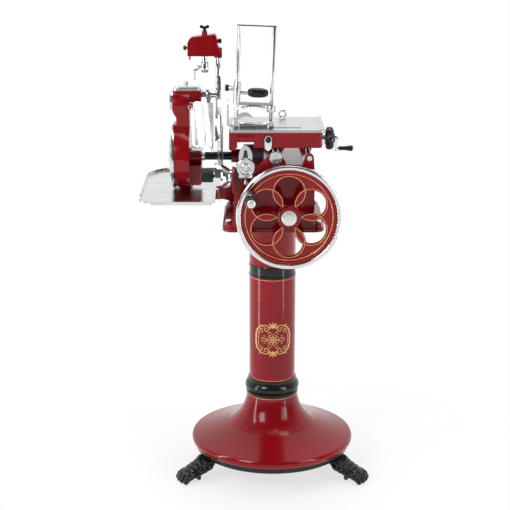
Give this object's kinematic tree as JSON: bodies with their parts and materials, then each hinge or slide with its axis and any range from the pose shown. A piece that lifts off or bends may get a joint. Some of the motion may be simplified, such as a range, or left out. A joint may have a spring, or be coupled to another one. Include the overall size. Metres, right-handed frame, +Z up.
{
  "type": "hand crank meat slicer",
  "caption": "Hand-cranked meat slicer on a cast pedestal: flywheel, geared round blade, sliding meat table with screw feed and clamp, sharpener and tray.",
  "frame": {"origin": "pedestal axis at floor level, under the middle of the three feet's column", "axes": "+Z up; -Y towards the operator and the flywheel; -X towards the blade, gear column and tray; +X towards the feed handwheel"},
  "size_m": [0.7591, 0.7458, 1.5074],
  "materials": {
    "gloss_red": "deep glossy baked enamel",
    "chrome": "mirror chrome plating",
    "polished_steel": "ground and polished steel",
    "blade_steel": "ring-ground blade steel",
    "table_aluminium": "satin anodised aluminium",
    "black_enamel": "gloss black enamel",
    "black_knob": "polished black thermoset",
    "bright_rim": "turned and polished rim",
    "gear_steel": "machined and oiled gear steel",
    "grey_cover": "satin grey enamel",
    "bronze": "oiled bearing bronze",
    "stone_grey": "bonded grinding stone"
  },
  "bodies": {
    "frame": {"lion_feet": "black_enamel", "base_ring": "black_enamel", "base_bell": "gloss_red", "column_collars": "black_enamel", "column": "gloss_red", "column_head": "gloss_red", "pedestal_bolts": "polished_steel", "machine_plate": "gloss_red", "machine_body": "gloss_red", "machine_bolts": "chrome", "slide_rods": "polished_steel", "shaft_bushes": "bronze", "gear_cover": "grey_cover", "bell_housing": "chrome", "tripping_claw": "polished_steel", "blade_guard": "polished_steel", "column_arm": "gloss_red", "gear_column": "gloss_red", "column_covers": "polished_steel", "column_lid": "polished_steel", "sharpener_post": "chrome", "tray": "polished_steel"},
    "wheel": {"flywheel": "gloss_red", "flywheel_rim": "bright_rim", "crank_pin": "chrome", "main_shaft": "gear_steel"},
    "crank_grip_body": {"crank_grip": "black_knob"},
    "cross_shaft_body": {"cross_shaft": "gear_steel"},
    "idler_body": {"idler_gear": "gear_steel"},
    "blade_body": {"blade": "blade_steel", "blade_spindle": "polished_steel", "spindle_sleeves": "black_knob"},
    "carriage_body": {"carriage": "gloss_red", "meat_table": "table_aluminium", "table_fittings": "chrome", "fence_plate": "table_aluminium", "stop_lever_knob": "black_knob"},
    "stop_lever_body": {"stop_lever": "chrome"},
    "feed_screw_body": {"feed_screw": "polished_steel", "feed_handwheel": "black_knob", "feed_crank": "chrome"},
    "feed_grip_body": {"feed_crank_grip": "black_knob"},
    "clamp_body": {"clamp_saddle": "polished_steel", "clamp_frame": "chrome"},
    "yoke_body": {"clamp_yoke": "table_aluminium", "clamp_grip": "black_knob", "press_plate": "polished_steel"},
    "tightener_body": {"clamp_tightener": "black_knob"},
    "dial_body": {"thickness_dial": "chrome"},
    "knob_body": {"adjusting_knob": "black_knob"},
    "lid_knob_body": {"lid_knob": "black_knob"},
    "deflector_body": {"slice_deflector": "polished_steel", "deflector_arm": "polished_steel"},
    "latch_body": {"latch_lever": "chrome"},
    "sharpener_body": {"sharpener_hood": "gloss_red", "stone_carrier": "stone_grey"},
    "wing_knob_body": {"wing_knob": "black_knob"},
    "push_knob_body": {"push_knob": "black_knob"},
    "lock_knob_body": {"lock_knob": "black_knob"},
    "trip_body": {"trip_lever": "polished_steel"}
  },
  "joints": [
    {"name": "flywheel_spin", "type": "hinge", "parent": "frame", "child": "wheel", "pos_m": [0.0475, -0.23, 0.924], "axis": [0, 1, 0], "continuous": true},
    {"name": "crank_grip_spin", "type": "hinge", "parent": "wheel", "child": "crank_grip_body", "pos_m": [-0.06953, -0.317, 0.99713], "axis": [0, 1, 0], "continuous": true},
    {"name": "cross_shaft_spin", "type": "hinge", "parent": "frame", "child": "cross_shaft_body", "pos_m": [-0.08, 0.01, 0.924], "axis": [1, 0, 0], "continuous": true},
    {"name": "idler_spin", "type": "hinge", "parent": "frame", "child": "idler_body", "pos_m": [-0.08, 0.01, 1.0065], "axis": [1, 0, 0], "continuous": true},
    {"name": "blade_spin", "type": "hinge", "parent": "frame", "child": "blade_body", "pos_m": [-0.176, 0.01, 1.074], "axis": [1, 0, 0], "continuous": true},
    {"name": "carriage_slide", "type": "slide", "parent": "frame", "child": "carriage_body", "axis": [0, 1, 0], "range_m": [-0.125, 0.125]},
    {"name": "stop_lever_swing", "type": "hinge", "parent": "carriage_body", "child": "stop_lever_body", "pos_m": [-0.017, -0.163, 1.156], "axis": [0, 1, 0], "range_deg": [-20, 20]},
    {"name": "feed_screw_turn", "type": "hinge", "parent": "carriage_body", "child": "feed_screw_body", "pos_m": [0.18, -0.11, 1.152], "axis": [1, 0, 0], "range_deg": [0, 5040]},
    {"name": "feed_grip_spin", "type": "hinge", "parent": "feed_screw_body", "child": "feed_grip_body", "pos_m": [0.2294, -0.11, 1.12], "axis": [1, 0, 0], "continuous": true},
    {"name": "clamp_feed", "type": "slide", "parent": "carriage_body", "child": "clamp_body", "axis": [1, 0, 0], "range_m": [0, 0.1122]},
    {"name": "yoke_slide", "type": "slide", "parent": "clamp_body", "child": "yoke_body", "axis": [0.0384, 0, 0.9993], "range_m": [0, 0.15]},
    {"name": "tightener_turn", "type": "hinge", "parent": "yoke_body", "child": "tightener_body", "pos_m": [-0.14122, -0.105, 1.31045], "axis": [0.9993, 0, -0.0384], "range_deg": [-180, 180]},
    {"name": "dial_turn", "type": "hinge", "parent": "frame", "child": "dial_body", "pos_m": [-0.088, -0.188, 1.072], "axis": [0, 1, 0], "range_deg": [-20, 20]},
    {"name": "knob_turn", "type": "hinge", "parent": "frame", "child": "knob_body", "pos_m": [-0.19, -0.19, 1.046], "axis": [1, 0, 0], "range_deg": [-180, 180]},
    {"name": "lid_knob_turn", "type": "hinge", "parent": "frame", "child": "lid_knob_body", "pos_m": [-0.281, 0.01, 1.3], "axis": [0, 0, 1], "range_deg": [-180, 180]},
    {"name": "deflector_swing", "type": "hinge", "parent": "frame", "child": "deflector_body", "pos_m": [-0.208, 0.01, 1.275], "axis": [1, 0, 0], "range_deg": [-60, 0]},
    {"name": "latch_turn", "type": "hinge", "parent": "frame", "child": "latch_body", "pos_m": [-0.266, -0.056, 1.243], "axis": [0, 1, 0], "range_deg": [-20, 20]},
    {"name": "sharpener_slide", "type": "slide", "parent": "frame", "child": "sharpener_body", "axis": [0, 0, 1], "range_m": [-0.012, 0.03]},
    {"name": "wing_knob_turn", "type": "hinge", "parent": "sharpener_body", "child": "wing_knob_body", "pos_m": [-0.22, 0.02, 1.48], "axis": [0, 0, 1], "range_deg": [-180, 180]},
    {"name": "push_knob_press", "type": "slide", "parent": "sharpener_body", "child": "push_knob_body", "axis": [1, 0, 0], "range_m": [0, 0.004], "stiffness_N_per_m": 400},
    {"name": "lock_knob_turn", "type": "hinge", "parent": "sharpener_body", "child": "lock_knob_body", "pos_m": [-0.17, 0.02, 1.445], "axis": [1, 0, 0], "range_deg": [-180, 180]},
    {"name": "trip_lever_swing", "type": "hinge", "parent": "sharpener_body", "child": "trip_body", "pos_m": [-0.242, 0.02, 1.361], "axis": [1, 0, 0], "range_deg": [-25, 25]}
  ],
  "couplings": [
    {"joint": "cross_shaft_spin", "follows": "flywheel_spin", "ratio": -1.5},
    {"joint": "idler_spin", "follows": "flywheel_spin", "ratio": 1.8},
    {"joint": "blade_spin", "follows": "flywheel_spin", "ratio": -2.25},
    {"joint": "clamp_feed", "follows": "feed_screw_turn", "m_per_rad": 0.0012732}
  ]
}
